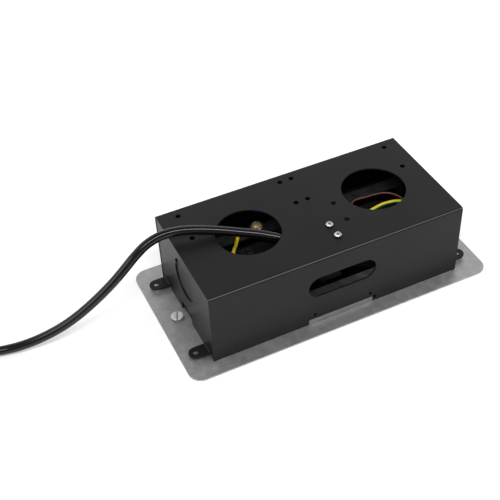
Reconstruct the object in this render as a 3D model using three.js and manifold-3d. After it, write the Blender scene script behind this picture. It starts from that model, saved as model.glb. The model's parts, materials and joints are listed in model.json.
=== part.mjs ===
// Flush-mounted pedestrian signal, lying on its front face: stainless face plate with two round lamps,
// and the black folded steel wall box behind it. Millimetres, +Z up, origin at the centre of the face
// plate's front face, +X towards the top of the signal as it is mounted.
import * as THREE from "three";
import { mergeVertices } from "three/addons/utils/BufferGeometryUtils.js";
import Module from "manifold-3d";

// ---------------------------------------------------------------- driving dimensions
const GAP = 0.3; // clearance kept between neighbouring pieces
const PLATE = { length: 300, width: 150, thick: 1.5, corner: 12 };
const BOX = { x0: -125, x1: 122, y0: -60.5, y1: 59, top: 77, sheet: 1.5, bend: 2.5 };
const FOOT_Z = PLATE.thick + GAP; // height of everything that stands on the plate
const CABLE_HOLES = { x: [-60, 66], radius: 29.5 };
const SMALL_HOLES = [
  [-106.5, 48.5], [-106.5, 15.6], [-5, 48.5], [-5, 15.6], [6.6, 48.5],
  [6.6, 15.6], [106.5, 48.5], [106.5, 15.6], [24, -1], [24, -25.5],
];
const SMALL_HOLE_RADIUS = 2.5;
const CLAMP = { x: 6.6, y: [-25.5, -40.5], screw: 1.6, hole: 1.9 };
const SIDE_SLOT = { x: 1.2, z: 44.8, length: 67, height: 22.4 };
const SIDE_HOLES = { x: [-26, 30.2], z: 12.3, radius: 1.6 };
const STRIP = { x0: -32, x1: 32.8, top: 7, thick: 1.2, foot: 7 };
const EAR = { y: 47, reach: 11.5, radius: 6.3, z: 4.5, thick: 1.5, hole: 2.4, bend: 1.8 };
const END_NOTCH = { y0: -12, y1: 11, top: 12.3 };
const KNOCKOUT = { y: -3, z: 50, radius: 20, pushed: 1.3 }; // half sheared, so it stands back by that much
const LAMPS = { red: 66, green: -60 };
const LENS_RADIUS = 45.7;
const HOUSING = { radius: 47.5, wall: 1.8, front: 4.9, back: 30 };
const TRAY = { x0: -122.6, x1: 119.6, half: 51, thick: 1.2, top: 32, flange: 57 };
const BAR = { x0: -107.5, x1: 112, y0: 20.8, y1: 33.2, top: 50, thick: 1.5 };
const STUDS = { left: -133.2, right: 130.2 };
const STUD_Y = 3;
const STUD_ANGLE = 23; // how far each stud's slot stands from +Y, clockwise from above
const CABLE_RADIUS = 4.2;
const COIL = { x: -361, y: 3, z: 10.4, radius: 46, bundle: 8.2 };
const TAIL = { x: -420.5, y: 31 };

// ---------------------------------------------------------------- tools
const wasm = await Module();
wasm.setup();
const root = new THREE.Group();

// A closed three.js geometry as a manifold solid, so that solids can be joined and cut.
function solid(geometry) {
  const bare = geometry.clone();
  for (const name of ["normal", "uv"]) bare.deleteAttribute(name);
  const merged = mergeVertices(bare, 1e-3);
  return new wasm.Manifold(new wasm.Mesh({
    numProp: 3,
    vertProperties: merged.attributes.position.array,
    triVerts: new Uint32Array(merged.index.array),
  }));
}

function toGeometry(shape) {
  const mesh = shape.getMesh();
  const geometry = new THREE.BufferGeometry();
  geometry.setAttribute("position", new THREE.BufferAttribute(mesh.vertProperties, 3));
  geometry.setIndex(new THREE.BufferAttribute(mesh.triVerts, 1));
  geometry.computeVertexNormals();
  return geometry;
}

function add(name, shape, color, roughness, metalness) {
  const geometry = shape.isBufferGeometry ? shape : toGeometry(shape);
  const material = new THREE.MeshStandardMaterial({ color, roughness, metalness });
  const mesh = new THREE.Mesh(geometry, material);
  mesh.name = name;
  root.add(mesh);
}

// Box between two corners.
function block(x0, y0, z0, x1, y1, z1) {
  const geometry = new THREE.BoxGeometry(x1 - x0, y1 - y0, z1 - z0);
  geometry.translate((x0 + x1) / 2, (y0 + y1) / 2, (z0 + z1) / 2);
  return solid(geometry);
}

// Upright cylinder standing on z0.
function rod(x, y, z0, z1, radius, sides = 24) {
  const geometry = new THREE.CylinderGeometry(radius, radius, z1 - z0, sides);
  geometry.rotateX(Math.PI / 2);
  geometry.translate(x, y, (z0 + z1) / 2);
  return solid(geometry);
}

// Solid of revolution about an upright axis; the profile is [radius, z] pairs, outside going up.
function turned(x, y, profile, sides = 48) {
  const points = profile.map(([r, z]) => new THREE.Vector2(r, z));
  const geometry = new THREE.LatheGeometry(points, sides);
  geometry.rotateX(Math.PI / 2);
  geometry.translate(x, y, 0);
  return solid(geometry);
}

// Flat sheet from a drawn outline, standing on z0.
function sheet(outline, z0, z1, curveSegments = 12) {
  const geometry = new THREE.ExtrudeGeometry(outline, {
    depth: z1 - z0, bevelEnabled: false, curveSegments,
  });
  geometry.translate(0, 0, z0);
  return solid(geometry);
}

// Section drawn in (Y, Z) and pulled along X from x0 to x1.
function along(outline, x0, x1, curveSegments = 6) {
  const geometry = new THREE.ExtrudeGeometry(outline, {
    depth: x1 - x0, bevelEnabled: false, curveSegments,
  });
  const turn = new THREE.Matrix4().makeBasis(
    new THREE.Vector3(0, 1, 0), new THREE.Vector3(0, 0, 1), new THREE.Vector3(1, 0, 0),
  );
  geometry.applyMatrix4(turn);
  geometry.translate(x0, 0, 0);
  return solid(geometry);
}

function polygon(points) {
  return new THREE.Shape(points.map(([x, y]) => new THREE.Vector2(x, y)));
}

function roundedRectangle(x0, y0, x1, y1, r) {
  const s = new THREE.Shape();
  s.moveTo(x0 + r, y0);
  s.lineTo(x1 - r, y0).absarc(x1 - r, y0 + r, r, -Math.PI / 2, 0);
  s.lineTo(x1, y1 - r).absarc(x1 - r, y1 - r, r, 0, Math.PI / 2);
  s.lineTo(x0 + r, y1).absarc(x0 + r, y1 - r, r, Math.PI / 2, Math.PI);
  s.lineTo(x0, y0 + r).absarc(x0 + r, y0 + r, r, Math.PI, 1.5 * Math.PI);
  return s;
}

// Round tube along a smooth line through the points, closed at both ends.
function tube(points, radius, steps, sides = 10) {
  const curve = new THREE.CatmullRomCurve3(
    points.map(([x, y, z]) => new THREE.Vector3(x, y, z)), false, "centripetal",
  );
  const ring = new THREE.Shape();
  ring.absarc(0, 0, radius, 0, 2 * Math.PI);
  return solid(new THREE.ExtrudeGeometry(ring, {
    steps, extrudePath: curve, curveSegments: sides / 2, bevelEnabled: false,
  }));
}

function cutAll(shape, cutters) {
  return cutters.reduce((left, cutter) => left.subtract(cutter), shape);
}

function joinAll(shapes) {
  return shapes.reduce((left, right) => left.add(right));
}

// ---------------------------------------------------------------- face plate and what stands on it
function facePlate() {
  const { length, width, thick, corner } = PLATE;
  const outline = roundedRectangle(-length / 2, -width / 2, length / 2, width / 2, corner);
  const apertures = Object.values(LAMPS).map((x) => rod(x, 0, -1, thick + 1, LENS_RADIUS + GAP, 44));
  const studs = Object.values(STUDS).map((x) => rod(x, STUD_Y, -1, thick + 1, 4.3, 18));
  return cutAll(sheet(outline, 0, thick, 8), [...apertures, ...studs]);
}

// Angle strip welded behind the plate: it stands in the notch of a long wall of the box.
function strip(side) {
  const { x0, x1, top, thick, foot } = STRIP;
  const outer = side < 0 ? BOX.y0 + 0.1 : BOX.y1 - 0.1;
  const [a, b, c] = [outer, outer - side * thick, outer - side * foot].sort((p, q) => p - q);
  const up = side < 0 ? [a, b] : [b, c];
  return block(x0, up[0], FOOT_Z, x1, up[1], top).add(
    block(x0, a, FOOT_Z, x1, c, FOOT_Z + thick),
  );
}

function lampTray() {
  const { x0, x1, half, thick, top, flange } = TRAY;
  const z = FOOT_Z;
  const section = polygon([
    [-half, z], [half, z], [half, top - thick], [flange, top - thick], [flange, top],
    [half - thick, top], [half - thick, z + thick], [thick - half, z + thick], [thick - half, top],
    [-flange, top], [-flange, top - thick], [-half, top - thick],
  ]);
  const wells = Object.values(LAMPS).map((x) => rod(x, 0, 0, z + thick + 1, 47.9, 44));
  return cutAll(along(section, x0, x1), wells);
}

// Strip bridge over the lamps, with a leg and a foot at each end.
function crossbar() {
  const { x0, x1, y0, y1, top, thick } = BAR;
  const z = FOOT_Z + TRAY.thick + GAP;
  const body = joinAll([
    block(x0, y0, top - thick, x1, y1, top),
    block(x0, y0, z, x0 + thick, y1, top),
    block(x1 - thick, y0, z, x1, y1, top),
    block(x0 - 9, y0, z, x0 + thick, y1, z + thick),
    block(x1 - thick, y0, z, x1 + 3.5, y1, z + thick),
  ]);
  return cutAll(body, [
    rod(61.5, 28.4, top - 5, top + 5, 1.6, 16),
    rod(EARTH.x, EARTH.y, top - 5, top + 5, 2.4, 20),
    rod(20, 27, top - 5, top + 5, 1.6, 16),
  ]);
}

const EARTH = { x: -39.2, y: 28.6 };

function earthScrew() {
  const { x, y } = EARTH;
  const profile = [
    [0, 43], [2, 43], [2, 51.7], [5.5, 51.7], [5.5, 52.6], [4.8, 53], [4.5, 54.6], [3.6, 55.8], [2, 56.5], [0, 56.7],
  ];
  return turned(x, y, profile, 24).subtract(block(x - 0.5, y - 6, 55.4, x + 0.5, y + 6, 58));
}

function hexNut(x, y, z0, z1, across, hole) {
  return rod(x, y, z0, z1, across / Math.sqrt(3), 6).subtract(rod(x, y, z0 - 1, z1 + 1, hole, 20));
}

function earthRing() {
  const { x, y } = EARTH;
  const ring = rod(x, y, BAR.top + GAP, BAR.top + 1.2, 5.6, 24);
  const barrel = block(x - 12, y - 1.6, BAR.top + GAP, x, y + 1.6, BAR.top + 1.2);
  return ring.add(barrel).subtract(rod(x, y, BAR.top - 1, BAR.top + 3, 2.4, 20));
}

// Three-way screw terminal strip standing on the back of the green lamp.
const TERMINALS = [-68, -61.5, -55];

function terminalBlock() {
  const z = HOUSING.back + GAP;
  const base = block(-72.5, 3, z, -50.5, 19, z + 7);
  const towers = TERMINALS.map((x) => block(x - 2.7, 6, z + 6, x + 2.7, 16, z + 13));
  const wells = TERMINALS.map((x) => rod(x, 11, z + 10, z + 14, 2, 14));
  return cutAll(joinAll([base, ...towers]), wells);
}

function driverModule() {
  const z = FOOT_Z + TRAY.thick + GAP;
  const can = sheet(roundedRectangle(-8, -38, 14, 18, 2), z, z + 21, 4);
  const foot = block(-3, -44, z, 9, 24, z + 1.5);
  return cutAll(can.add(foot), [rod(3, -41.2, z - 1, z + 3, 1.6, 14), rod(3, 21.2, z - 1, z + 3, 1.6, 14)]);
}

// ---------------------------------------------------------------- the two lamps
function lens(x) {
  const r = LENS_RADIUS;
  return turned(x, 0, [
    [0, 0.9], [24, 0.7], [r - 1.2, 0.3], [r, 0.9], [r, 1.8], [47.3, 1.8], [47.3, 3], [r - 2, 3], [24, 3.3], [0, 3.5],
  ], 36);
}

function gasket(x) {
  return rod(x, 0, 3.3 + 0.3, 4.6, 47.3, 36).subtract(rod(x, 0, 3, 5, 44.4, 36));
}

function housing(x) {
  const { radius: r, wall, front, back } = HOUSING;
  const cup = turned(x, 0, [
    [0, back - wall], [38, back - wall], [r - wall, 22], [r - wall, front], [r, front],
    [r, 23], [40, back], [0, back],
  ], 36);
  return cup.subtract(rod(x, -25, 20, back + 1, 3.5, 16));
}

// The figures are stencils: holes in a black disc, head towards +X.
function standingFigure(x) {
  return joinAll([
    rod(x + 28, 0, 0, 20, 6.6, 24),
    block(x - 6, -8, 0, x + 19, 8, 20),
    block(x - 4, -13.5, 0, x + 18, -9.5, 20),
    block(x - 4, 9.5, 0, x + 18, 13.5, 20),
    block(x + 15, -12, 0, x + 19, 12, 20),
    block(x - 35, -7.5, 0, x - 4, -1.2, 20),
    block(x - 35, 1.2, 0, x - 4, 7.5, 20),
  ]);
}

function walkingFigure(x) {
  const limb = (x0, y0, x1, y1, w) => {
    const dx = x1 - x0, dy = y1 - y0, l = Math.hypot(dx, dy);
    const geometry = new THREE.BoxGeometry(l, w, 20);
    geometry.rotateZ(Math.atan2(dy, dx));
    geometry.translate(x + (x0 + x1) / 2, (y0 + y1) / 2, 10);
    return joinAll([solid(geometry), rod(x + x0, y0, 0, 20, w / 2, 14), rod(x + x1, y1, 0, 20, w / 2, 14)]);
  };
  return joinAll([
    rod(x + 29, 2, 0, 20, 6.2, 24),
    limb(17, 1, -3, -1, 12),
    limb(17, 1, 6, 15, 4.5), limb(6, 15, -2, 18, 4.2),
    limb(17, -1, 5, -13, 4.5), limb(5, -13, -4, -13, 4.2),
    limb(-3, 0, -16, 11, 6.5), limb(-16, 11, -33, 16, 5.5),
    limb(-3, -1, -18, -7, 6.5), limb(-18, -7, -32, -17, 5.5),
  ]);
}

function mask(x, figure) {
  return rod(x, 0, 6.2, 7, 45.2, 36).subtract(figure(x));
}

function diffuser(x) {
  return turned(x, 0, [[0, 8], [44.8, 8], [44.8, 11], [43, 11], [43, 9.6], [0, 9.6]], 32);
}

function ledBoard(x) {
  const leds = [];
  for (const [count, r] of [[4, 11], [8, 24], [11, 36]]) {
    for (let i = 0; i < count; i++) {
      const a = (2 * Math.PI * i) / count;
      const [cx, cy] = [x + r * Math.cos(a), r * Math.sin(a)];
      leds.push(block(cx - 1.6, cy - 1.6, 15.2, cx + 1.6, cy + 1.6, 16.5));
    }
  }
  return joinAll([rod(x, 0, 16.2, 17.8, 43.5, 32), ...leds]);
}

// ---------------------------------------------------------------- quarter-turn studs
function stud(x) {
  const body = turned(x, STUD_Y, [
    [0, 0.3], [4, 0.3], [4, 1.4], [2.2, 1.4], [2.2, 2.9], [5.5, 2.9], [5.65, 3.05], [5.65, 3.75], [5.4, 4], [0, 4],
  ], 32);
  const slots = block(-0.45, -7, 3.4, 0.45, 7, 5).add(block(-0.6, -3, 0, 0.6, 3, 0.9));
  return body.subtract(slots.rotate([0, 0, -STUD_ANGLE]).translate([x, STUD_Y, 0]));
}

function studRetainer(x) {
  return turned(x, STUD_Y, [[2.5, 1.8], [5, 1.8], [5, 2.4], [4.8, 2.6], [2.5, 2.6], [2.5, 1.8]], 24);
}

// ---------------------------------------------------------------- wall box
function wallBox() {
  const { x0, x1, y0, y1, top, sheet: t, bend } = BOX;
  const s = new THREE.Shape();
  s.moveTo(y0, FOOT_Z);
  s.lineTo(y0 + t, FOOT_Z).lineTo(y0 + t, top - bend);
  s.absarc(y0 + bend, top - bend, bend - t, Math.PI, Math.PI / 2, true);
  s.lineTo(y1 - bend, top - t).absarc(y1 - bend, top - bend, bend - t, Math.PI / 2, 0, true);
  s.lineTo(y1 - t, FOOT_Z).lineTo(y1, FOOT_Z).lineTo(y1, top - bend);
  s.absarc(y1 - bend, top - bend, bend, 0, Math.PI / 2);
  s.lineTo(y0 + bend, top).absarc(y0 + bend, top - bend, bend, Math.PI / 2, Math.PI);
  s.lineTo(y0, FOOT_Z);
  const wrap = along(s, x0, x1);
  const slot = SIDE_SLOT, r = slot.height / 2, dx = slot.length / 2 - r;
  const across = (x, z, radius, sides) => {
    const geometry = new THREE.CylinderGeometry(radius, radius, 20, sides);
    geometry.translate(x, -60, z);
    return solid(geometry);
  };
  const cutters = [
    ...CABLE_HOLES.x.map((x) => rod(x, 0, 70, 80, CABLE_HOLES.radius, 44)),
    ...SMALL_HOLES.map(([x, y]) => rod(x, y, 70, 80, SMALL_HOLE_RADIUS, 12)),
    ...CLAMP.y.map((y) => rod(CLAMP.x, y, 70, 80, CLAMP.hole, 16)),
    across(slot.x - dx, slot.z, r, 28), across(slot.x + dx, slot.z, r, 28),
    block(slot.x - dx, -70, slot.z - r, slot.x + dx, -50, slot.z + r),
    ...SIDE_HOLES.x.map((x) => across(x, SIDE_HOLES.z, SIDE_HOLES.radius, 12)),
    across(STRIP.x1 + 2.4, 6.2, 1.9, 12),
  ];
  for (const y of [-60, 60]) {
    cutters.push(block(STRIP.x0 - 0.5, y - 10, 0, STRIP.x1 + 0.5, y + 10, STRIP.top + 0.4));
  }
  return cutAll(wrap, cutters);
}

// Rounded inside corner where an ear leaves the wall.
function earBend(outer, side, y) {
  const r = EAR.bend, z = EAR.z + EAR.thick - 0.02, points = [[outer - 0.02 * -side, z]];
  for (let i = 0; i <= 4; i++) {
    const a = (i / 4) * (Math.PI / 2);
    points.push([outer + side * r * (1 - Math.sin(a)), z + r * (1 - Math.cos(a))]);
  }
  points[0] = [outer - side * 0.2, z];
  points.push([outer - side * 0.2, z + r]);
  const outline = polygon(side < 0 ? points.reverse() : points);
  const geometry = new THREE.ExtrudeGeometry(outline, { depth: 2 * EAR.radius, bevelEnabled: false });
  geometry.rotateX(Math.PI / 2);
  geometry.translate(0, y + EAR.radius, 0);
  return solid(geometry);
}

// Round disc standing on its rim: its axis runs along X from x0 to x1.
function discAlongX(y, z, x0, x1, radius) {
  return rod(0, 0, x0, x1, radius, 48).rotate([0, 90, 0]).translate([0, y, z]);
}

// End wall with two ears bent out of its foot, a knock-out and a notch behind the stud.
function endWall(side) {
  const outer = side < 0 ? BOX.x0 + 0.4 : BOX.x1 - 0.4;
  const t = BOX.sheet, y0 = BOX.y0 + t + GAP, y1 = BOX.y1 - t - GAP, top = BOX.top - t - GAP;
  const [xa, xb] = side < 0 ? [outer, outer + t] : [outer - t, outer];
  const wall = block(xa, y0, 2.4, xb, y1, top);
  const lip = side < 0 ? block(xa, y0 + 6, top - t, xb + 9, y1 - 6, top)
    : block(xa - 9, y0 + 6, top - t, xb, y1 - 6, top);
  const cutters = [block(xa - 5, END_NOTCH.y0, 0, xb + 5, END_NOTCH.y1, END_NOTCH.top)];
  const ears = [];
  const holeX = outer + side * EAR.reach;
  for (const y of [-EAR.y, EAR.y]) {
    const [ea, eb] = side < 0 ? [holeX, xb] : [xa, holeX];
    ears.push(block(ea, y - EAR.radius, EAR.z, eb, y + EAR.radius, EAR.z + EAR.thick));
    ears.push(rod(holeX, y, EAR.z, EAR.z + EAR.thick, EAR.radius, 28));
    ears.push(earBend(outer, side, y));
    // relief cuts either side of each bent ear, and the blank it leaves below
    for (const s of [-1, 1]) {
      const c = y + s * (EAR.radius + 0.8);
      cutters.push(block(xa - 1, c - 0.8, 0, xb + 1, c + 0.8, EAR.z + EAR.thick + 2));
    }
    cutters.push(block(xa - 1, y - EAR.radius, 0, xb + 1, y + EAR.radius, EAR.z));
  }
  // knock-out: a disc pushed in by most of the sheet, with one slit through and one bridge left flush
  const inward = -side * KNOCKOUT.pushed;
  const slit = (from, to, width) => {
    const parts = [], n = Math.max(2, Math.round((to - from) / 20));
    for (let i = 0; i < n; i++) {
      const a = ((from + ((i + 0.5) * (to - from)) / n) * Math.PI) / 180;
      const length = ((to - from) / n / 180) * Math.PI * KNOCKOUT.radius + width * 0.35;
      const geometry = new THREE.BoxGeometry(10, length, width);
      geometry.rotateX(a - Math.PI / 2 + Math.PI);
      geometry.translate(outer, KNOCKOUT.y + KNOCKOUT.radius * Math.cos(a), KNOCKOUT.z + KNOCKOUT.radius * Math.sin(a));
      parts.push(solid(geometry));
    }
    return joinAll(parts);
  };
  cutters.push(slit(26, 46, 1.5));
  const { y: ky, z: kz, radius: kr } = KNOCKOUT;
  const recess = discAlongX(ky, kz, Math.min(outer + side, outer + inward), Math.max(outer + side, outer + inward), kr);
  const disc = discAlongX(ky, kz, xa + inward, xb + inward, kr + 0.25);
  const bridge = solid(new THREE.BoxGeometry(2.4, 4, 4).translate(outer + inward - side * 0.1, kr, 0).rotateX((20 * Math.PI) / 180))
    .translate([0, ky, kz]).intersect(block(xa, y0, 2.4, xb, y1, top));
  const holes = [-EAR.y, EAR.y].map((y) => rod(holeX, y, 0, 10, EAR.hole, 18));
  const pressed = joinAll([wall.subtract(recess), disc, bridge]);
  return cutAll(joinAll([cutAll(pressed, cutters), lip, ...ears]), holes);
}

function clampSaddle() {
  const [yNear, yFar] = [CLAMP.y[1] - 5.2, CLAMP.y[0] + 5.2];
  const body = sheet(roundedRectangle(CLAMP.x - 4.6, yNear, CLAMP.x + 4.6, yFar, 3), 62.6, 66.4, 4);
  return cutAll(body, CLAMP.y.map((y) => rod(CLAMP.x, y, 60, 70, CLAMP.hole, 16)));
}

function clampScrew(y) {
  const z = BOX.top + GAP;
  const body = turned(CLAMP.x, y, [
    [0, 60], [CLAMP.screw, 60], [CLAMP.screw, z], [3.3, z], [3.3, z + 1.1], [2.4, z + 2], [0, z + 2.3],
  ], 24);
  return cutAll(body, [
    block(CLAMP.x - 0.45, y - 1.7, z + 0.9, CLAMP.x + 0.45, y + 1.7, z + 4),
    block(CLAMP.x - 1.7, y - 0.45, z + 0.9, CLAMP.x + 1.7, y + 0.45, z + 4),
  ]);
}

// ---------------------------------------------------------------- cable and wires
const CABLE_LINE = [
  [16, -33, 70.9], [6.6, -33, 70.9], [-8, -30, 70.9], [-22, -23.6, 70.6], [-33, -16.8, 70.6],
  [-41.7, -12.2, 73.2], [-54.1, -5.6, 76.5], [-66.7, 0.6, 78.6], [-79.5, 6.3, 81.2], [-92.6, 11.4, 83.7],
  [-105.8, 16, 85.8], [-119.4, 19.6, 86.9], [-133.2, 21.7, 85.8], [-146.6, 21.6, 81.6], [-158.6, 19.8, 74.7],
  [-169.9, 17.8, 66.3], [-181.1, 16.7, 57.4], [-192.7, 16.8, 48.3], [-204.6, 17.8, 39.1], [-216.9, 19.5, 30.1],
  [-229.6, 21.9, 21.9], [-242.8, 24.8, 15.1], [-256.4, 27.9, 9.8], [-270.1, 31.1, 6.3], [-284, 34.6, 4.6],
  [-300, 38.8, 4.6], [-318, 43.5, 4.6],
];

function coil() {
  const { x, y, z, radius, bundle } = COIL;
  const points = [];
  for (let i = 0; i <= 12; i++) {
    const a = (2 * Math.PI * i) / 12;
    points.push([radius + bundle * Math.cos(a), z + bundle * Math.sin(a)]);
  }
  points[12] = points[0];
  return turned(x, y, points, 32);
}

function coilTie() {
  const { x, y, z, radius, bundle } = COIL;
  const a = -1.9;
  const ring = new THREE.LatheGeometry([
    [bundle + 0.4, -3], [bundle + 1.6, -3], [bundle + 1.6, 3], [bundle + 0.4, 3], [bundle + 0.4, -3],
  ].map(([r, h]) => new THREE.Vector2(r, h)), 24);
  ring.rotateZ(a);
  ring.translate(x + radius * Math.cos(a), y + radius * Math.sin(a), z);
  return solid(ring);
}

// ---------------------------------------------------------------- assembly
const STEEL = [0xb9babb, 0.42, 1], BLACK = [0x303134, 0.55, 0.2], ZINC = [0x8d9094, 0.5, 0.9];
const BRASS = [0xd6a63a, 0.35, 1], PLASTIC = [0x17181a, 0.6, 0], SHEATH = [0x141416, 0.45, 0];

add("face_plate", facePlate(), ...STEEL);
add("locating_strip_near", strip(-1), ...STEEL);
add("locating_strip_far", strip(1), ...STEEL);
add("lamp_tray", lampTray(), ...ZINC);
for (const [colour, x] of Object.entries(LAMPS)) {
  const tint = colour === "red" ? 0xb01018 : 0x0c8a4a;
  add(`${colour}_lens`, lens(x), tint, 0.15, 0);
  add(`${colour}_gasket`, gasket(x), 0x101010, 0.9, 0);
  add(`${colour}_figure_mask`, mask(x, colour === "red" ? standingFigure : walkingFigure), 0x0c0c0c, 0.8, 0);
  add(`${colour}_diffuser`, diffuser(x), 0xf2f2ee, 0.7, 0);
  add(`${colour}_led_board`, ledBoard(x), 0x1e5a38, 0.5, 0);
  add(`${colour}_housing`, housing(x), ...PLASTIC);
}
add("crossbar", crossbar(), ...ZINC);
add("earth_screw", earthScrew(), ...BRASS);
add("earth_nut", hexNut(EARTH.x, EARTH.y, 44.6, 48.2, 7, 2.3), ...BRASS);
add("earth_ring_terminal", earthRing(), 0xc9c9c4, 0.4, 1);
add("terminal_block", terminalBlock(), 0x2b2d30, 0.5, 0);
add("driver_module", driverModule(), ...PLASTIC);
for (const [side, x] of Object.entries(STUDS)) {
  add(`stud_${side}`, stud(x), 0xd5d6d7, 0.3, 1);
  add(`stud_retainer_${side}`, studRetainer(x), ...STEEL);
}
add("wall_box", wallBox(), ...BLACK);
add("end_wall_left", endWall(-1), ...BLACK);
add("end_wall_right", endWall(1), ...BLACK);
add("clamp_saddle", clampSaddle(), ...PLASTIC);
CLAMP.y.forEach((y, i) => add(`clamp_screw_${i + 1}`, clampScrew(y), 0xcfd0d2, 0.3, 1));
add("wire_earth", tube([
  [19, -31, 68], [30, -24, 63], [45, -13, 60], [61, -8.4, 60], [76, -6.4, 60], [90, -10.5, 60], [99, -20, 57],
  [90, -33, 53], [60, -41, 51], [20, -43, 50], [-25, -40, 50], [-58, -27, 49], [-71, -10, 49], [-74, 2, 49.5],
  [-72.1, 8.4, 50.2], [-66.5, 15, 52], [-61.5, 21.4, 54], [-57, 26.8, 53.6], [-52.9, 28.6, 52.2],
], 1.7, 46, 6), 0xe6d21c, 0.45, 0);
add("wire_brown", tube([
  [19, -34.5, 68], [29, -30, 60], [37, -14, 55], [45.5, 4, 56.3], [54, 13.4, 57], [68.3, 12.9, 57], [81.2, 11.4, 57],
  [89, 7.4, 57], [96, 0, 55], [100, -10, 49.5], [94, -20, 42], [80, -25, 38], [69.5, -25.3, 36.5], [66, -25, 32.5],
  [66, -25, 28.6],
], 1.0, 28, 6), 0x6a3b23, 0.5, 0);
add("wire_blue", tube([
  [19, -37, 67], [12, -44, 60], [-10, -46, 53], [-40, -40, 46], [-56, -30, 40], [-60, -25, 30],
], 1.0, 16, 6), 0x1f3f86, 0.5, 0);
add("supply_cable", tube(CABLE_LINE, CABLE_RADIUS, 58, 10), ...SHEATH);
add("cable_coil", coil(), ...SHEATH);
add("coil_tie", coilTie(), 0x202020, 0.8, 0);
add("cable_tail", tube([
  [TAIL.x, TAIL.y, 4.6], [TAIL.x, TAIL.y - 20, 4.6], [TAIL.x, TAIL.y - 44, 4.6],
], CABLE_RADIUS, 3, 10), ...SHEATH);
for (const [name, dx, z, color] of [["brown", -2.4, 2.6, 0x6a3b23], ["blue", 2.4, 2.6, 0x1f3f86], ["earth", 0, 6.8, 0xe6d21c]]) {
  const y = TAIL.y - 44 - GAP;
  add(`core_end_${name}`, tube([
    [TAIL.x + dx, y, z], [TAIL.x + 1.6 * dx, y - 14, z], [TAIL.x + 2.4 * dx, y - 32, z - (z > 4 ? 3 : 0)],
  ], 1.4, 4, 8), color, 0.5, 0);
}

export default root;
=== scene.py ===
# %% [markdown]
# # A flush-mounted pedestrian signal, seen from behind
# The signal lies on its front face. What shows is the back: a stainless face plate, a black folded
# steel box on it, and a supply lead that comes out of the box and runs away over the floor.
# The CAD model is loaded first. It is the fixed frame: every piece below goes where it says, in metres.

# %% load the CAD model
import json, math
import bpy, bmesh
import numpy as np
from mathutils import Matrix, Vector


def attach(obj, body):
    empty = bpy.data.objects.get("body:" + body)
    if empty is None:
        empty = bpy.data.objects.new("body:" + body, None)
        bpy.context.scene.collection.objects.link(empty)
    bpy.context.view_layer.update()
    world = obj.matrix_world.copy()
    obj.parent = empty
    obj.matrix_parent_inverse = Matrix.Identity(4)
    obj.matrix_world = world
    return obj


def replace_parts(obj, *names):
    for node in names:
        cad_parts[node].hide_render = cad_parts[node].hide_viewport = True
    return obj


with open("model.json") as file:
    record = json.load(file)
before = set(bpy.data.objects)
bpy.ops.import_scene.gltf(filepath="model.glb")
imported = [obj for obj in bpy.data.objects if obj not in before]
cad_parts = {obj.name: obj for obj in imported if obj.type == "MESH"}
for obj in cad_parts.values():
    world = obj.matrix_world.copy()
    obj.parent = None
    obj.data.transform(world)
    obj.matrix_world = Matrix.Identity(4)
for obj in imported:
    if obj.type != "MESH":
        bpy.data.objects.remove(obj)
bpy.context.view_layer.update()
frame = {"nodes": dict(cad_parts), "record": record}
nodes = frame["nodes"]
home = {n: b for b, members in frame["record"]["behaviour"]["bodies"].items() for n in members}
MM = 0.001

# %% [markdown]
# ## Camera
# The view is from the front left and above, about 43 degrees down, with a portrait lens.
# A camera looks along its own -Z. It is aimed with to_track_quat at a point on the box, then rolled a
# little about its own line of sight, as a hand-held one is. Depth of field stays off.

# %% camera
camera_data = bpy.data.cameras.new("camera")
camera_data.sensor_width = 36
camera_data.lens = 70.43
camera = bpy.data.objects.new("camera", camera_data)
bpy.context.scene.collection.objects.link(camera)
bpy.context.scene.camera = camera
stands_at = Vector((-0.3103, -0.5848, 0.6461))
looks_at = Vector((-0.0529, 0.0150, 0.0400))
aim = (looks_at - stands_at).to_track_quat("-Z", "Y").to_matrix()
ROLL = math.radians(-3.2)
camera.matrix_world = Matrix.Translation(stands_at) @ (aim @ Matrix.Rotation(ROLL, 3, "Z")).to_4x4()
camera_data.clip_start, camera_data.clip_end = 0.01, 20
print("camera", round((looks_at - stands_at).length, 3), "m from the box")

# %% [markdown]
# ## A round thing along a line
# The lead, its cores and the wires inside are all the same idea: a ring carried along a smooth line.
# A line is drawn through a few points with a Catmull-Rom spline, then measured and divided evenly.
# The ring needs two directions across the line. They come from one fixed guide direction, which is
# simple and never twists as long as the line is nowhere parallel to it.

# %% lines and tubes
def smooth_line(points, step):
    """Catmull-Rom through the points: on each span p = 1/2 (2b + (c-a)u + (2a-5b+4c-d)u^2 + (3b-a-3c+d)u^3),
    then the samples are spread evenly at about the step given."""
    p = np.asarray(points, float)
    p = np.vstack([2 * p[0] - p[1], p, 2 * p[-1] - p[-2]])
    a, b, c, d = p[:-3, None], p[1:-2, None], p[2:-1, None], p[3:, None]
    u = np.linspace(0, 1, 24, endpoint=False)[None, :, None]
    dense = 0.5 * (2 * b + (c - a) * u + (2 * a - 5 * b + 4 * c - d) * u**2 + (3 * b - a - 3 * c + d) * u**3)
    return evenly(np.vstack([dense.reshape(-1, 3), p[-2]]), step)


def evenly(line, step):
    """The same line with points at equal distances along it: each coordinate is read at equal arc lengths."""
    run = np.concatenate([[0], np.cumsum(np.linalg.norm(np.diff(line, axis=0), axis=1))])
    at = np.linspace(0, run[-1], max(2, round(run[-1] / step)) + 1)
    return np.stack([np.interp(at, run, line[:, k]) for k in range(3)], axis=1)


def length_of(line):
    return float(np.linalg.norm(np.diff(line, axis=0), axis=1).sum())


def unit(v):
    return v / np.linalg.norm(v, axis=-1, keepdims=True)


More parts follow.
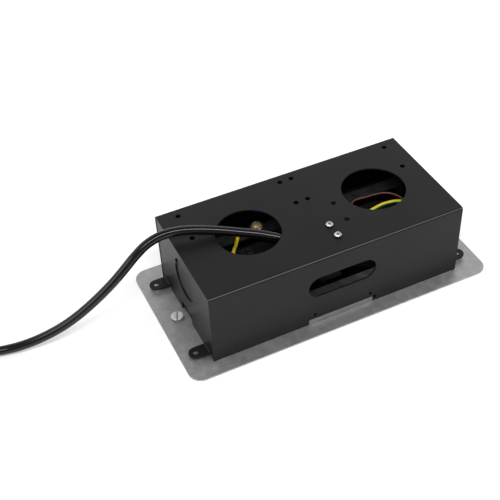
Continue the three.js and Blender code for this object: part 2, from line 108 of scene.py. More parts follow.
def quads(rows, columns):
    """Faces of a grid whose columns close into a ring: each joins (i, j), (i, j+1), (i+1, j+1), (i+1, j)."""
    i, j = np.meshgrid(np.arange(rows - 1), np.arange(columns), indexing="ij")
    k = (j + 1) % columns
    here, above = i * columns, (i + 1) * columns
    return np.stack([here + j, here + k, above + k, above + j], -1).reshape(-1, 4)


def surface(name, grid, material, uv=None, smooth=True):
    """Closed skin from rings of points, grid[row, column]: quads between the rings, a flat cap at each end.
    uv holds one (u, v) for each grid point, u round the ring and v along it. Where a quad joins the last
    column to the first, u is raised by 1 at its closing corners, so the pattern does not run backwards."""
    rows, columns = grid.shape[:2]
    faces = [*quads(rows, columns).tolist(), list(range(columns))[::-1],
             list(range((rows - 1) * columns, rows * columns))]
    mesh = bpy.data.meshes.new(name)
    mesh.from_pydata(grid.reshape(-1, 3).tolist(), [], faces)
    mesh.polygons.foreach_set("use_smooth", np.full(len(faces), smooth))
    if uv is not None:
        corners = np.zeros(len(mesh.loops), int)
        mesh.loops.foreach_get("vertex_index", corners)
        flat = uv.reshape(-1, 2)[corners]
        index = np.arange(len(corners))
        far_side = np.isin(index % 4, (1, 2))
        in_a_quad = index < 4 * (rows - 1) * columns
        flat[(corners % columns == 0) & far_side & in_a_quad, 0] += 1.0
        layer = mesh.uv_layers.new(name="along")
        layer.data.foreach_set("uv", flat.astype(np.float32).ravel())
    made = bpy.data.objects.new(name, mesh)
    bpy.context.scene.collection.objects.link(made)
    made.data.materials.append(material)
    return made


def tube(name, line, radius, material, sides=20, guide=(0.11, 0.07, 0.99), round_end=0.25):
    """Ring of the radius carried along the line: point = centre + r (cos a N + sin a B), where N is the guide
    with its part along the line taken away, and B stands square to both. Two smaller rings past each end
    round the cut a little."""
    tangent = unit(np.gradient(line, axis=0))
    guide = np.asarray(guide, float)
    n = unit(guide - (tangent @ guide)[:, None] * tangent)
    b = np.cross(tangent, n)
    run = np.concatenate([[0], np.cumsum(np.linalg.norm(np.diff(line, axis=0), axis=1))])
    r = np.broadcast_to(np.asarray(radius, float), run.shape)
    a = np.linspace(0, 2 * np.pi, sides, endpoint=False)
    ring = np.cos(a)[None, :, None] * n[:, None] + np.sin(a)[None, :, None] * b[:, None]
    body = line[:, None] + r[:, None, None] * ring
    narrower = np.array([1 - round_end, 1 - 0.3 * round_end])
    further = np.array([0.5, 0.3]) * round_end

    def rounded(at, outward, order):
        """Two rings beyond an end, the outermost first; order -1 turns them round for the far end."""
        across = ring[at][None] * (narrower[::order] * r[at])[:, None, None]
        return line[at] + across + outward * tangent[at] * (further[::order] * r[at])[:, None, None]

    grid = np.concatenate([rounded(0, -1, 1), body, rounded(-1, 1, -1)])
    v = np.concatenate([[run[0]] * 2, run, [run[-1]] * 2])
    uv = np.stack(np.broadcast_arrays(a[None] / (2 * np.pi), v[:, None]), -1)
    return surface(name, grid, material, uv.copy())


print("tools for lines and tubes ready")

# %% [markdown]
# ## Finishes
# Every finish is a Principled shader. Colours, roughness and relief vary with procedural noise read from
# Object coordinates, so a grain stays on its piece when the piece moves. Numbers that are the same all
# over a surface go straight on the shader. Sizes are real: a noise of scale 1000 has features about
# a millimetre across, because the model is in metres.

# %% material tools
class Finish:
    """A Principled material with short names for the nodes that this object's finishes need."""

    def __init__(self, name, colour, roughness, **constants):
        self.material = bpy.data.materials.new(name)
        self.material.use_nodes = True
        self.tree = self.material.node_tree
        self.shader = self.tree.nodes["Principled BSDF"]
        self.shader.inputs["Base Color"].default_value = (*colour, 1)
        self.shader.inputs["Roughness"].default_value = roughness
        for key, value in constants.items():
            self.shader.inputs[key.replace("_", " ")].default_value = value
        self.coordinates = self.tree.nodes.new("ShaderNodeTexCoord").outputs["Object"]
        self.bumps = None

    def node(self, kind, **values):
        made = self.tree.nodes.new(kind)
        for key, value in values.items():
            if key in made.inputs:
                made.inputs[key].default_value = value
            else:
                setattr(made, key, value)
        return made

    def link(self, a, b):
        self.tree.links.new(a, b)

    def stretched(self, x, y, z):
        """Coordinates scaled by x, y, z: a small number draws the pattern out along that axis."""
        mapping = self.node("ShaderNodeMapping", Scale=(x, y, z))
        self.link(self.coordinates, mapping.inputs["Vector"])
        return mapping.outputs["Vector"]

    def noise(self, size, detail=2.0, along=None, rough=0.5, distortion=0.0):
        """Noise with features of the size given, in millimetres."""
        made = self.node("ShaderNodeTexNoise", Scale=1000 / size, Detail=detail, Roughness=rough,
                         Distortion=distortion)
        self.link(along or self.coordinates, made.inputs["Vector"])
        return made.outputs["Fac"]

    def cells(self, size):
        made = self.node("ShaderNodeTexVoronoi", Scale=1000 / size, feature="F1")
        self.link(self.coordinates, made.inputs["Vector"])
        return made

    def between(self, value, lo, hi, start=0.3, stop=0.7):
        """The value's run from start to stop becomes a number from lo to hi."""
        made = self.node("ShaderNodeMapRange", clamp=True)
        for k, v in zip(("From Min", "From Max", "To Min", "To Max"), (start, stop, lo, hi)):
            made.inputs[k].default_value = v
        self.link(value, made.inputs["Value"])
        return made.outputs["Result"]

    def colours(self, value, *stops):
        """Colour ramp: stops are (place, (r, g, b))."""
        made = self.node("ShaderNodeValToRGB")
        ramp = made.color_ramp
        while len(ramp.elements) < len(stops):
            ramp.elements.new(0.5)
        for element, (place, colour) in zip(ramp.elements, sorted(stops)):
            element.position, element.color = place, (*colour, 1)
        self.link(value, made.inputs["Fac"])
        return made.outputs["Color"]

    def mixed(self, factor, a, b):
        made = self.node("ShaderNodeMix", data_type="RGBA", blend_type="MIX")
        for socket, value in ((made.inputs[0], factor), (made.inputs[6], a), (made.inputs[7], b)):
            if isinstance(value, bpy.types.NodeSocket):
                self.link(value, socket)
            elif isinstance(value, tuple):
                socket.default_value = (*value, 1)
            else:
                socket.default_value = value
        return made.outputs[2]

    def paint(self, colour):
        self.link(colour, self.shader.inputs["Base Color"])
        return self

    def gloss(self, roughness):
        self.link(roughness, self.shader.inputs["Roughness"])
        return self

    def relief(self, height, depth, strength=1.0):
        """Bump whose height runs over the depth given, in millimetres. Each one is laid on the one before."""
        made = self.node("ShaderNodeBump", Strength=strength, Distance=depth * MM)
        self.link(height, made.inputs["Height"])
        if self.bumps:
            self.link(self.bumps, made.inputs["Normal"])
        self.bumps = made.outputs["Normal"]
        self.link(self.bumps, self.shader.inputs["Normal"])
        return self


print("material tools ready")

# %% [markdown]
# ## The supply lead
# A black rubber-like sheath 8.4 mm across: extruded, so it is smooth and glossy enough to carry one long
# bright line, with very fine lines along it and a little dust. The sheath needs the pattern to follow
# it, so this finish reads the tube's own UV map, where v is the distance along the lead in metres.

# %% sheath finish
def sheath_finish():
    f = Finish("black_sheath", (0.004, 0.004, 0.0045), 0.12, Specular_IOR_Level=0.42)
    uv = f.node("ShaderNodeUVMap", uv_map="along").outputs["UV"]
    drawn = f.node("ShaderNodeMapping", Scale=(26, 30, 1))
    f.link(uv, drawn.inputs["Vector"])
    streaks = f.node("ShaderNodeTexNoise", Scale=1.0, Detail=3.0)
    f.link(drawn.outputs["Vector"], streaks.inputs["Vector"])
    dust = f.noise(2.2, 4)
    f.paint(f.colours(dust, (0.35, (0.003, 0.003, 0.0033)), (0.62, (0.004, 0.004, 0.0045)),
                      (0.8, (0.009, 0.009, 0.009))))
    f.gloss(f.between(dust, 0.08, 0.15))
    f.relief(streaks.outputs["Fac"], 0.02, 0.5)
    return f.relief(f.noise(0.6, 2), 0.01, 0.4).material


sheath = sheath_finish()
print("made", sheath.name)

# %% [markdown]
# ## The lead's way
# A lead is a fixed length of something springy. It leaves the clamp flat under the back panel, rises
# through the left-hand opening, passes over the panel's edge in one bow, comes down to the floor and
# runs off to the left. The length that is left over is put away in a neat coil of two turns with a tie.
# The turns are a formula: an angle that grows, a distance from the coil's middle that steps from
# the outer place to the inner one, and a height that rises where the last turn climbs over the first.

# %% lead route
LEAD = 8.4 * MM
over_the_box = np.array([
    (16, -33, 70.9), (6.6, -33, 70.9), (-8, -30, 70.9), (-22, -23.6, 70.6), (-33, -16.8, 70.6),
    (-41.7, -12.2, 73.2), (-54.1, -5.6, 76.5), (-66.7, 0.6, 78.6), (-79.5, 6.3, 81.2),
    (-92.6, 11.4, 83.7), (-105.8, 16, 85.8), (-119.4, 19.6, 86.9), (-133.2, 21.7, 85.8),
    (-146.6, 21.6, 81.6), (-158.6, 19.8, 74.7),
    (-169.9, 17.8, 66.3), (-181.1, 16.7, 57.4), (-192.7, 16.8, 48.3), (-204.6, 17.8, 39.1),
    (-216.9, 19.5, 30.1),
    (-229.6, 21.9, 21.9), (-242.8, 24.8, 15.1), (-256.4, 27.9, 9.8), (-270.1, 31.1, 6.3), (-284, 34.6, 4.6),
    (-300, 38.8, 4.6), (-316, 43.1, 4.6), (-332, 47.3, 4.6),
])


def step_up(t, start, stop):
    """0 before start, 1 after stop, and 3s^2 - 2s^3 between them."""
    s = np.clip((t - start) / (stop - start), 0, 1)
    return s * s * (3 - 2 * s)


COIL_AT, TAIL_AT = (-361, 3), (-420.5, 31)
turns = np.linspace(0.0, 2.0, 97)
angle = np.radians(75.3 + 360 * turns)
from_middle = 46 + 4.3 - 8.6 * step_up(turns, 0.8, 1.0) + 4.3 * step_up(turns, 1.86, 2.0)
height = 4.6 + 8.6 * step_up(turns, 1.6, 1.9)
coiled = np.stack([COIL_AT[0] + from_middle * np.cos(angle), COIL_AT[1] + from_middle * np.sin(angle),
                   height], axis=1)
tail = np.array([(-366, 52.3, 13.2), (-382, 53.5, 12.8), (-398, 49, 8.8), (-410.5, 39, 5.4), (-418, 26, 4.6),
                 (-420.5, 11, 4.6), (-420.5, -13, 4.6)])
lead_line = smooth_line(np.vstack([over_the_box, coiled[:-1], tail]) * MM, 2.2 * MM)

# %% lead
lead = tube("supply_lead", lead_line, LEAD / 2, sheath, sides=28)
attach(lead, home["supply_cable"])
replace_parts(lead, "supply_cable", "cable_coil", "cable_tail")
print(lead.name, len(lead.data.polygons), "faces")

# %% [markdown]
# ## Cores and ferrules
# The lead is an installation lead: it ends bare, with three insulated cores and a crimped ferrule on each.
# One tube makes each core, because the ferrule is only a change of radius along it. The colour changes
# at the same place, which the finish reads from the UV map's distance along the core.

# %% insulation finishes
STRIPE_TURNS, STRIPE_START = -0.74, 0.50  # turns of the green stripe in a metre of core, and where it begins


def insulation(name, light, dark, stripe=None, bare_after=None):
    """Glossy PVC: slow drift of tone and a fine extrusion grain. A second colour may wind along it, and metal
    may start after a distance along the core."""
    f = Finish(name, light, 0.38, Specular_IOR_Level=0.45)
    uv = f.node("ShaderNodeUVMap", uv_map="along").outputs["UV"]
    parts = f.node("ShaderNodeSeparateXYZ")
    f.link(uv, parts.inputs[0])
    colour = f.colours(f.noise(3.0, 3), (0.3, dark), (0.7, light))
    if stripe:
        band = f.node("ShaderNodeMath", operation="MULTIPLY_ADD")
        f.link(parts.outputs[1], band.inputs[0])
        band.inputs[1].default_value = STRIPE_TURNS
        f.link(parts.outputs[0], band.inputs[2])
        begun = f.node("ShaderNodeMath", operation="ADD")
        f.link(band.outputs[0], begun.inputs[0])
        begun.inputs[1].default_value = STRIPE_START
        wrap = f.node("ShaderNodeMath", operation="FRACT")
        f.link(begun.outputs[0], wrap.inputs[0])
        black, white = (0, 0, 0), (1, 1, 1)
        band_edges = ((0.64, black), (0.66, white), (0.96, white), (0.98, black))
        colour = f.mixed(f.colours(wrap.outputs[0], *band_edges), colour, stripe)
    if bare_after:
        bare = f.between(parts.outputs[1], 0, 1, bare_after, bare_after + 0.0002)
        colour = f.mixed(bare, colour, (0.62, 0.6, 0.57))
        f.link(bare, f.shader.inputs["Metallic"])
    f.paint(colour)
    f.gloss(f.between(f.noise(1.1, 2), 0.3, 0.48))
    return f.relief(f.noise(0.5, 2), 0.01, 0.4).material


yellow, yellow_low, green = (0.80, 0.62, 0.02), (0.66, 0.50, 0.015), (0.02, 0.20, 0.04)
earth_core = insulation("yellow_green_insulation", yellow, yellow_low, stripe=green)
brown_core = insulation("brown_insulation", (0.16, 0.06, 0.035), (0.11, 0.04, 0.022))
blue_core = insulation("blue_insulation", (0.02, 0.07, 0.28), (0.015, 0.05, 0.2))
core_ends = {
    "brown": insulation("brown_core_end", (0.16, 0.06, 0.035), (0.11, 0.04, 0.022), bare_after=0.0245),
    "blue": insulation("blue_core_end", (0.02, 0.07, 0.28), (0.015, 0.05, 0.2), bare_after=0.0245),
    "earth": insulation("earth_core_end", yellow, yellow_low, stripe=green, bare_after=0.0245),
}
print("insulation finishes made:", 3 + len(core_ends))

# %% core ends
def core_end(colour, aside, height, material):
    """A core from the sheath's cut end: it fans out aside, settles on the floor and ends in a ferrule."""
    start = tail[-1, 1] - 0.3 - 0.6
    x, high = TAIL_AT[0], height > 4
    points = np.array([(x + aside, start, height), (x + 1.3 * aside, start - 7, height),
                       (x + 1.7 * aside, start - 15, height - high),
                       (x + 2.3 * aside, start - 30.5, height - 3.6 * high)])
    line = smooth_line(points * MM, 0.5 * MM)
    run = np.linspace(0, length_of(line), len(line))
    bare = step_up(run, 0.0243, 0.0247)
    made = tube(f"bare_core_{colour}", line, (1.4 - 0.45 * bare) * MM, material, sides=18)
    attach(made, home[f"core_end_{colour}"])
    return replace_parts(made, f"core_end_{colour}")


cores = [core_end("brown", -2.4, 2.6, core_ends["brown"]), core_end("blue", 2.4, 2.6, core_ends["blue"]),
         core_end("earth", 0.1, 6.8, core_ends["earth"])]
print("core ends:", [c.name for c in cores])

# %% [markdown]
# ## Tie
# A soft strap holds the two turns. Its section is a thin flat band, and its way round the turns is
# a stadium: two half circles joined by straight runs. It crosses the coil square to the turns.

# %% tie
def strap_finish():
    f = Finish("woven_strap", (0.02, 0.02, 0.021), 0.8, Sheen_Weight=0.3)
    ribs = f.noise(0.5, 2, along=f.stretched(1, 1, 0.4))
    f.paint(f.colours(ribs, (0.35, (0.012, 0.012, 0.013)), (0.7, (0.035, 0.035, 0.036))))
    return f.relief(ribs, 0.1, 0.8).material


def storage_tie(at_angle=-1.9, middle=46.0, wide=8.5, tall=4.22, band=5.0, thick=0.34):
    """Stadium loop: half circles of radius tall at plus and minus (wide - tall) across the turns. The band is
    that loop drawn out by its width along the lead, with rounded rims."""
    a = np.linspace(0, 2 * np.pi, 72, endpoint=False)
    flat = (wide - tall) * np.clip(np.cos(a) * 3, -1, 1)
    edge = np.linspace(0, 2 * np.pi, 16, endpoint=False)
    out = thick / 2 + thick / 2 * np.cos(edge)
    along = band / 2 * np.sign(np.sin(edge)) * np.abs(np.sin(edge)) ** 0.35
    across = flat[:, None] + (tall + out)[None] * np.cos(a)[:, None]
    up = 4.6 + (tall + out)[None] * np.sin(a)[:, None]
    c, s = np.cos(at_angle), np.sin(at_angle)
    r = middle + across
    x = COIL_AT[0] + r * c - along[None] * s
    y = COIL_AT[1] + r * s + along[None] * c
    ring = np.stack(np.broadcast_arrays(x, y, up), -1)
    faces = quads(len(a) + 1, len(edge)) % (len(a) * len(edge))
    mesh = bpy.data.meshes.new("storage_tie")
    mesh.from_pydata((ring * MM).reshape(-1, 3).tolist(), [], faces.tolist())
    bm = bmesh.new()
    bm.from_mesh(mesh)
    bmesh.ops.recalc_face_normals(bm, faces=bm.faces)
    bm.to_mesh(mesh)
    bm.free()
    mesh.polygons.foreach_set("use_smooth", np.full(len(mesh.polygons), True))
    made = bpy.data.objects.new("storage_tie", mesh)
    bpy.context.scene.collection.objects.link(made)
    made.data.materials.append(strap_finish())
    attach(made, home["coil_tie"])
    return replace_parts(made, "coil_tie")


tie = storage_tie()

# %% [markdown]
# ## Painted steel
# The box and its end walls are folded sheet with a black powder coat. The coat is baked plastic: neutral,
# half matt, with a very fine orange-peel skin. A bit of dust and a few faint rub marks keep a large plain
# panel from looking empty. On the long near fold a lighter grey is painted in as a painted highlight, one
# fine light line. Along that fold z - y tells where a point lies, because it is greatest on the crown.

# %% powder coat
# the band on the near fold's crown that gets the painted highlight
FOLD_HIGHLIGHT_BAND = (135.94 * MM, 136.03 * MM)  # z - y: 135 mm on both flat faces, a little over 136 on the crown


def powder_coat():
    f = Finish("black_powder_coat", (0.014, 0.014, 0.015), 0.42, Specular_IOR_Level=0.19)
    cloud = f.noise(60, 3)
    peel = f.noise(0.9, 3)
    dust = f.noise(1.6, 5, rough=0.7)
    base = f.colours(cloud, (0.3, (0.0085, 0.0085, 0.009)), (0.7, (0.0115, 0.0115, 0.012)))
    dusty = f.mixed(f.between(dust, 0, 0.5, 0.66, 0.78), base, (0.04, 0.04, 0.039))
    place = f.node("ShaderNodeSeparateXYZ")
    f.link(f.coordinates, place.inputs[0])
    outward = f.node("ShaderNodeMath", operation="SUBTRACT")
    f.link(place.outputs[2], outward.inputs[0])
    f.link(place.outputs[1], outward.inputs[1])
    # painted highlight: the crown of the near fold is painted a lighter grey, which draws a fine light line
    painted_fold_highlight = f.between(outward.outputs[0], 0, 1, *FOLD_HIGHLIGHT_BAND)
    f.paint(f.mixed(painted_fold_highlight, dusty, (0.10, 0.10, 0.10)))
    rub = f.noise(9, 4, along=f.stretched(0.35, 1, 1), distortion=0.6)
    f.gloss(f.between(rub, 0.40, 0.44))
    f.relief(peel, 0.05, 0.35)
    return f.relief(f.noise(0.3, 2), 0.02, 0.3).material


coat = powder_coat()
print("made", coat.name)

# %% [markdown]
# ## Softened edges
# Cut and folded sheet never ends in a perfect corner, and the thin bright line along each edge is what
# tells the eye that it is metal. The CAD piece has the right shape with sharp corners, and it is left
# alone. A copy of it is merged and its flat faces joined, and a Bevel modifier rounds the corners.

# %% softened copies
def softened(node, name, material, width, segments=2, fold=math.radians(33)):
    """Copy of a CAD piece with every corner sharper than the fold angle rounded by width, in millimetres."""
    bm = bmesh.new()
    bm.from_mesh(nodes[node].data)
    bmesh.ops.remove_doubles(bm, verts=bm.verts, dist=2e-6)
    bmesh.ops.dissolve_limit(bm, angle_limit=math.radians(0.6), verts=bm.verts, edges=bm.edges)
    mesh = bpy.data.meshes.new(name)
    bm.to_mesh(mesh)
    bm.free()
    mesh.polygons.foreach_set("use_smooth", np.full(len(mesh.polygons), True))
    made = bpy.data.objects.new(name, mesh)
    bpy.context.scene.collection.objects.link(made)
    made.data.materials.append(material)
    bevel = made.modifiers.new("edges", "BEVEL")
    bevel.width, bevel.segments, bevel.limit_method, bevel.angle_limit = width * MM, segments, "ANGLE", fold
    bevel.miter_outer = "MITER_ARC"
    flat = made.modifiers.new("flat faces stay flat", "WEIGHTED_NORMAL")
    flat.weight, flat.mode = 100, "FACE_AREA"
    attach(made, home[node])
    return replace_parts(made, node)


box = softened("wall_box", "painted_wall_box", coat, 0.22)
ends = [softened(f"end_wall_{side}", f"painted_end_{side}", coat, 0.2)
        for side in ("left", "right")]
print("painted:", box.name, [e.name for e in ends])

# %% [markdown]
# ## Stainless steel
# The face plate is stainless sheet with a fine ground grain along its length. A ground face does not
# mirror: it smears, more across the grain than along it. It is also blotchy, because handling and the mill
# leave clouds of lighter and darker metal. The strips are a darker sheet.

# %% ground stainless
def ground_stainless(name, dark, light, roughness=0.5):
    f = Finish(name, light, roughness, Metallic=0.8, Anisotropic=0.2)
    clouds = f.noise(7, 5, rough=0.6, distortion=0.4)
    patches = f.noise(40, 3, distortion=0.3)
    grain = f.noise(0.5, 3, along=f.stretched(0.04, 1, 1))
    base = f.colours(clouds, (0.25, dark), (0.75, light))
    base = f.mixed(f.between(patches, 0.0, 0.3), base, tuple(0.75 * c for c in light))
    speckle = f.noise(1.5, 4, rough=0.75)
    base = f.mixed(f.between(speckle, 0, 0.45, 0.45, 0.75), base, tuple(0.55 * c for c in dark))
    f.paint(f.mixed(f.between(grain, 0, 0.3), base, dark))
    f.gloss(f.between(clouds, roughness - 0.04, roughness + 0.06))
    return f.relief(grain, 0.015, 0.4).material


plate_steel = ground_stainless("ground_stainless", (0.40, 0.40, 0.40), (0.60, 0.60, 0.595))
strip_steel = ground_stainless("ground_strip", (0.26, 0.26, 0.26), (0.42, 0.42, 0.415))
plate = softened("face_plate", "ground_face_plate", plate_steel, 0.25)
strips = [softened(f"locating_strip_{side}", f"ground_strip_{side}", strip_steel, 0.15)
          for side in ("near", "far")]
print("stainless:", plate.name, [s.name for s in strips])

# %% [markdown]
# ## Zinc, brass and bright steel
# The tray and the crossbar are zinc-plated, in faint crystals, with their grey painted dark as painted shade
# for the inside of the box. The screws are plated too, but small turned parts are brighter. The earth screw
# and
# nut are brass. Slots get painted shade: the finish takes the height of a slot's floor and darkens everything
# below it.

# %% plated and turned metals
def shaded_zinc_finish():
    # painted shade: the zinc's grey is kept dark to stand for the shade inside the box, where the tray and
    # crossbar sit
    f = Finish("zinc_plate_painted_dark", (0.10, 0.102, 0.105), 0.46, Metallic=0.85)
    crystals = f.cells(5.0)
    tone = f.colours(crystals.outputs["Color"], (0.0, (0.06, 0.061, 0.063)), (1.0, (0.14, 0.142, 0.145)))
    f.paint(f.mixed(f.between(f.noise(12, 4), 0, 0.6), tone, (0.055, 0.055, 0.057)))
    f.gloss(f.between(crystals.outputs["Distance"], 0.36, 0.5, 0, 0.6))
    return f.relief(f.noise(0.8, 3), 0.02, 0.5).material


def turned_metal(name, dark, light, roughness, metallic=1.0, painted_shade_below=None):
    """Plated metal with a slow change of tone and a fine grain, and painted shade below a slot's floor if one
    is given.
    """
    f = Finish(name, light, roughness, Metallic=metallic)
    tone = f.noise(2.5, 4, distortion=0.5)
    colour = f.colours(tone, (0.3, dark), (0.7, light))
    if painted_shade_below:
        place = f.node("ShaderNodeSeparateXYZ")
        f.link(f.coordinates, place.inputs[0])
        # painted shade: below the slot's floor, in the slot and round the lower rim of the head, the colour
        # is darkened
        above = f.between(place.outputs[2], 0, 1, (painted_shade_below + 0.1) * MM, (painted_shade_below + 0.25) * MM)
        colour = f.mixed(above, (0.08, 0.08, 0.08), colour)
    f.paint(colour)
    f.gloss(f.between(tone, roughness - 0.05, roughness + 0.1))
    return f.relief(f.noise(0.3, 2), 0.01, 0.5).material


shaded_zinc = shaded_zinc_finish()
bright = turned_metal("bright_steel", (0.70, 0.70, 0.69), (0.90, 0.90, 0.885), 0.26)
# the stud's slot and the cross-head recesses get painted shade below the height given
satin = turned_metal("satin_nickel", (0.90, 0.90, 0.89), (1.0, 1.0, 0.99), 0.5, metallic=0.75, painted_shade_below=3.4)
brass = turned_metal("pale_brass", (0.84, 0.66, 0.30), (1.0, 0.86, 0.48), 0.26, metallic=0.75)
cross_head = turned_metal("cross_head_steel", (0.55, 0.55, 0.54), (0.85, 0.85, 0.84), 0.32, painted_shade_below=78.2)
tray = softened("lamp_tray", "plated_tray", shaded_zinc, 0.12)
bar = softened("crossbar", "plated_crossbar", shaded_zinc, 0.12)
print("metals:", shaded_zinc.name, bright.name, brass.name)

# %% [markdown]
# ## Plastics, glass and boards
# The lamps: a domed lens in coloured acrylic, a rubber ring, a black stencil, an opal sheet that spreads
# the light, a board of LEDs, and a black cup behind them. Little of this is seen from behind, but the
# signal is picked up and looked at from the front too, so each gets its own finish.

# %% lamp finishes
def moulded(name, dark, light, roughness, grain=0.5, depth=0.03):
    """Moulded plastic: spark-eroded grain from the tool, and a slow change of gloss."""
    f = Finish(name, light, roughness, Specular_IOR_Level=0.4)
    f.paint(f.colours(f.noise(14, 3), (0.3, dark), (0.7, light)))
    f.gloss(f.between(f.noise(6, 3), roughness - 0.06, roughness + 0.08))
    return f.relief(f.noise(grain, 3), depth, 0.5).material


def lens_finish(name, deep, clear):
    f = Finish(name, clear, 0.08, Transmission_Weight=0.55, IOR=1.49, Coat_Weight=0.4)
    f.paint(f.colours(f.noise(20, 2), (0.3, deep), (0.7, clear)))
    f.gloss(f.between(f.noise(3, 3), 0.05, 0.16))
    return f.relief(f.cells(2.4).outputs["Distance"], 0.05, 0.35).material


def board_finish():
    f = Finish("solder_mask", (0.01, 0.09, 0.04), 0.35, Specular_IOR_Level=0.5)
    tracks = f.node("ShaderNodeTexBrick", Scale=160.0)
    tracks.inputs["Mortar Size"].default_value = 0.03
    f.link(f.coordinates, tracks.inputs["Vector"])
    mask = f.colours(f.noise(8, 3), (0.3, (0.008, 0.07, 0.03)), (0.7, (0.014, 0.12, 0.05)))
    f.paint(f.mixed(f.between(tracks.outputs["Fac"], 0, 0.7, 0, 1), mask, (0.03, 0.2, 0.09)))
    f.gloss(f.between(f.noise(2, 2), 0.3, 0.45))
    return f.relief(tracks.outputs["Fac"], 0.04, 0.5).material


black_plastic = moulded("black_housing_plastic", (0.010, 0.010, 0.011), (0.018, 0.018, 0.019), 0.5)
grey_plastic = moulded("dark_terminal_plastic", (0.010, 0.010, 0.011), (0.018, 0.018, 0.019), 0.55)
stencil = moulded("stencil_black", (0.006, 0.006, 0.006), (0.010, 0.010, 0.010), 0.75, 0.3)
rubber = moulded("gasket_rubber", (0.010, 0.010, 0.010), (0.018, 0.018, 0.018), 0.85, 0.4, 0.05)
opal = moulded("opal_sheet", (0.80, 0.80, 0.77), (0.90, 0.90, 0.87), 0.5, 1.0)
lens_red = lens_finish("red_acrylic", (0.42, 0.006, 0.008), (0.66, 0.012, 0.014))
lens_green = lens_finish("green_acrylic", (0.004, 0.26, 0.13), (0.008, 0.42, 0.20))
solder_mask = board_finish()
print("lamp finishes made")

# %% lamps and inner parts
ROUND_FOLD = math.radians(24)  # round heads have faces 11 to 15 degrees apart, and those stay unbevelled


def dressed(node, material):
    """A CAD piece whose shape is already right keeps it and gets the finish."""
    piece = nodes[node]
    for place in piece.material_slots:
        place.material = material
    return piece


def terminal_screws(row=(-68, -61.5, -55), y=11, low=40.4, high=41.3, radius=1.6):
    """Small pan heads in the wells of the terminal strip: the radius follows a quarter ellipse upwards."""
    a = np.linspace(0, 2 * np.pi, 20, endpoint=False)
    t = np.linspace(0, 0.5 * np.pi, 7)
    ring_radius = np.concatenate([[radius], radius * (0.35 + 0.65 * np.cos(t))])
    ring_height = np.concatenate([[low], low + 0.3 + (high - low - 0.3) * np.sin(t)])
    for k, x in enumerate(row):
        across, along = ring_radius[:, None] * np.cos(a), ring_radius[:, None] * np.sin(a)
        grid = np.stack(np.broadcast_arrays(x + across, y + along, ring_height[:, None]), -1)
        head = surface(f"terminal_screw_{k + 1}", grid * MM, bright)
        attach(head, home["terminal_block"])


for colour, lens_material in (("red", lens_red), ("green", lens_green)):
    dressed(f"{colour}_lens", lens_material)
    dressed(f"{colour}_gasket", rubber)
    dressed(f"{colour}_figure_mask", stencil)
    dressed(f"{colour}_diffuser", opal)
    dressed(f"{colour}_led_board", solder_mask)
    softened(f"{colour}_housing", f"moulded_{colour}_housing", black_plastic, 0.3)
softened("driver_module", "moulded_driver", black_plastic, 0.4)
softened("terminal_block", "moulded_terminals", grey_plastic, 0.3)
softened("clamp_saddle", "moulded_saddle", black_plastic, 0.4)
terminal_screws()
softened("earth_screw", "domed_earth_screw", brass, 0.12, fold=ROUND_FOLD)
dressed("earth_nut", brass)
softened("earth_ring_terminal", "tinned_ring_terminal", bright, 0.1, fold=ROUND_FOLD)
for side in ("left", "right"):
    softened(f"stud_{side}", f"slotted_stud_{side}", satin, 0.12, fold=ROUND_FOLD)
    dressed(f"stud_retainer_{side}", plate_steel)
for k in (1, 2):
    softened(f"clamp_screw_{k}", f"cross_head_screw_{k}", cross_head, 0.1, fold=ROUND_FOLD)
print("dressed the lamps and small parts")

# %% [markdown]
# ## Wires in the box
# Three cores leave the clamped lead inside the box. Each is a tube along a lazy line: nobody combs
# wires straight in a box that is closed for years.

# %% wires
wire_ways = {
    "earth": (earth_core, 1.7, (0.15, 0.2, 0.97), [
        (19, -31, 68), (30, -24, 63), (45, -13, 60), (61, -8.4, 60), (76, -6.4, 60), (90, -10.5, 60),
        (99, -20, 57),
        (90, -33, 53), (60, -41, 51), (20, -43, 50), (-25, -40, 50), (-58, -27, 49), (-71, -10, 49),
        (-74, 2, 49.5),
        (-72.1, 8.4, 50.2), (-66.5, 15, 52), (-61.5, 21.4, 54), (-57, 26.8, 53.6), (-52.9, 28.6, 52.2)]),
    "brown": (brown_core, 0.85, (0.5, -0.6, 0.62), [
        (19, -34.5, 68), (29, -30, 60), (37, -14, 55), (45.5, 4, 56.3), (54, 13.4, 57), (68.3, 12.9, 57),
        (81.2, 11.4, 57), (89, 7.4, 57), (96, 0, 55), (100, -10, 49.5), (94, -20, 42), (80, -25, 38),
        (69.5, -25.3, 36.5), (66, -25, 32.5),
        (66, -25, 28.6)]),
    "blue": (blue_core, 1.0, (0.2, 0.9, 0.35), [
        (19, -37, 67), (12, -44, 60), (-10, -46, 53), (-40, -40, 46), (-56, -30, 40), (-60, -25, 30)]),
}
for colour, (material, radius, guide, points) in wire_ways.items():
    way = smooth_line(np.array(points) * MM, 1.2 * MM)
    wire = tube(f"{colour}_wire", way, radius * MM, material, sides=18, guide=guide)
    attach(wire, home[f"wire_{colour}"])
    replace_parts(wire, f"wire_{colour}")
    print(wire.name, round(length_of(way), 3), "m")

# %% [markdown]
# ## Floor and light
# A studio table: a white floor that glows a little, as a light table does, a tent of light that is
# brighter on its far side, a long strip lamp above the camera's side, which draws the bright line along
# the lead, and one softer lamp from the left. The floor has a faint tooth. Shadows stay very soft.

# %% floor
FRONT_OF_TENT, BACK_OF_TENT = 0.30, 1.05  # the side the camera stands on is darker than the far side


def paper_finish():
    f = Finish("white_paper", (0.93, 0.93, 0.93), 0.9, Specular_IOR_Level=0.1,
               Emission_Color=(1, 1, 1, 1), Emission_Strength=0.27)
    f.paint(f.colours(f.noise(90, 3), (0.3, (0.92, 0.92, 0.92)), (0.7, (0.95, 0.95, 0.95))))
    return f.relief(f.noise(1.2, 3), 0.02, 0.3).material


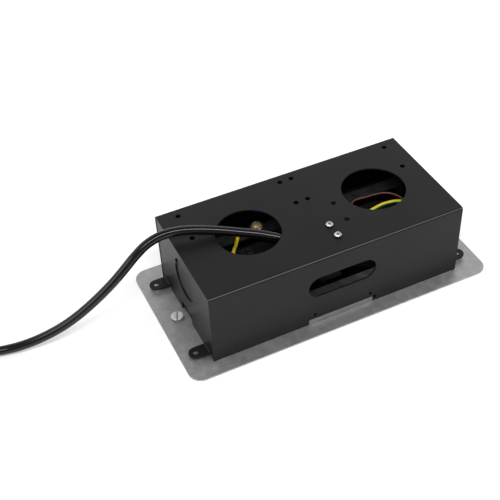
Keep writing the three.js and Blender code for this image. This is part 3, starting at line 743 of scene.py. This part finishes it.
floor_mesh = bpy.data.meshes.new("floor")
reach, below = 6.0, -0.0004  # the floor lies a hair under the plate, so the two faces share no plane
corners = [(-reach, -reach, below), (reach, -reach, below), (reach, reach, below), (-reach, reach, below)]
floor_mesh.from_pydata(corners, [], [(0, 1, 2, 3)])
floor = bpy.data.objects.new("floor", floor_mesh)
floor.data.materials.append(paper_finish())
bpy.context.scene.collection.objects.link(floor)
print("floor", 2 * reach, "m wide")

# %% lights
world = bpy.data.worlds.new("tent")
world.use_nodes = True
tree = world.node_tree
direction = tree.nodes.new("ShaderNodeTexCoord").outputs["Generated"]
parts = tree.nodes.new("ShaderNodeSeparateXYZ")
tree.links.new(direction, parts.inputs[0])


def rising(socket, start, stop, lo, hi):
    """A number that goes smoothly from lo to hi while the direction's coordinate goes from start to stop."""
    made = tree.nodes.new("ShaderNodeMapRange")
    made.interpolation_type = "SMOOTHSTEP"
    for key, value in zip(("From Min", "From Max", "To Min", "To Max"), (start, stop, lo, hi)):
        made.inputs[key].default_value = value
    tree.links.new(socket, made.inputs["Value"])
    return made.outputs["Result"]


far_wall = tree.nodes.new("ShaderNodeMath")
far_wall.operation = "MULTIPLY_ADD"
tree.links.new(rising(parts.outputs["Y"], -0.35, 0.35, 0, 1), far_wall.inputs[0])
tree.links.new(rising(parts.outputs["Z"], 0.60, 0.86, BACK_OF_TENT - FRONT_OF_TENT, 0.0), far_wall.inputs[1])
far_wall.inputs[2].default_value = FRONT_OF_TENT
tree.links.new(far_wall.outputs[0], tree.nodes["Background"].inputs["Strength"])
tree.nodes["Background"].inputs["Color"].default_value = (1, 1, 1, 1)
bpy.context.scene.world = world
bpy.context.scene.view_settings.view_transform = "Standard"


def soft_lamp(name, at, towards, size, brightness):
    """Rectangular lamp facing a point. Power = brightness x pi x area gives it that radiance."""
    light = bpy.data.lights.new(name, "AREA")
    light.shape, light.size, light.size_y = "RECTANGLE", size[0], size[1]
    light.energy = brightness * math.pi * size[0] * size[1]
    made = bpy.data.objects.new(name, light)
    aim = (Vector(towards) - Vector(at)).to_track_quat("-Z", "Y").to_matrix()
    made.matrix_world = Matrix.Translation(at) @ aim.to_4x4()
    bpy.context.scene.collection.objects.link(made)
    return made


soft_lamp("overhead", (0.05, -0.80, 1.55), (0.05, 0, 0), (2.1, 0.26), 11.0)
soft_lamp("left", (-1.5, -0.2, 1.0), (0, 0, 0), (0.8, 0.8), 2.2)
print("lights ready")
